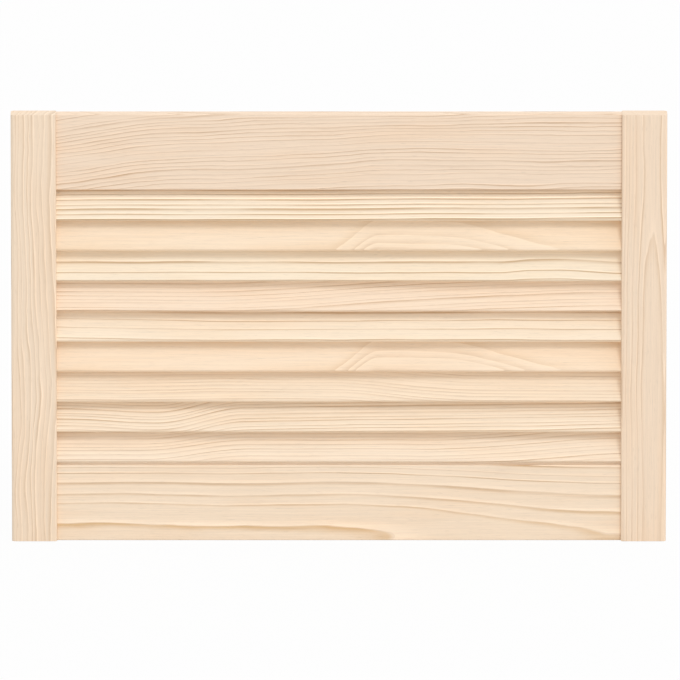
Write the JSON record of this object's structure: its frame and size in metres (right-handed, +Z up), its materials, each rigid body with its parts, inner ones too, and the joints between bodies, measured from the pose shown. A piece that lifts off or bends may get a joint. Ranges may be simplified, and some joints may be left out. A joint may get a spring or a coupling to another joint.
{
  "type": "louvred cabinet door leaf",
  "caption": "Pine louvred cabinet door leaf: a frame of stiles and set-back rails around fixed slanted slats that let air through and block the view.",
  "frame": {"origin": "middle of the left stile's flat outer edge, the edge that the leaf is hung from", "axes": "+X across the width to the right stile, +Y from the front face to the back, +Z up"},
  "size_m": [0.594, 0.021, 0.395],
  "materials": {
    "stile_pine": "planed, unfinished, upright grain",
    "rail_pine": "planed, unfinished, level grain",
    "slat_pine": "planed, unfinished, level grain"
  },
  "bodies": {
    "root": {"left_stile": "stile_pine", "right_stile": "stile_pine", "top_rail": "rail_pine", "bottom_rail": "rail_pine", "slat_1": "slat_pine", "slat_2": "slat_pine", "slat_3": "slat_pine", "slat_4": "slat_pine", "slat_5": "slat_pine", "slat_6": "slat_pine", "slat_7": "slat_pine", "slat_8": "slat_pine", "slat_9": "slat_pine"}
  },
  "joints": []
}
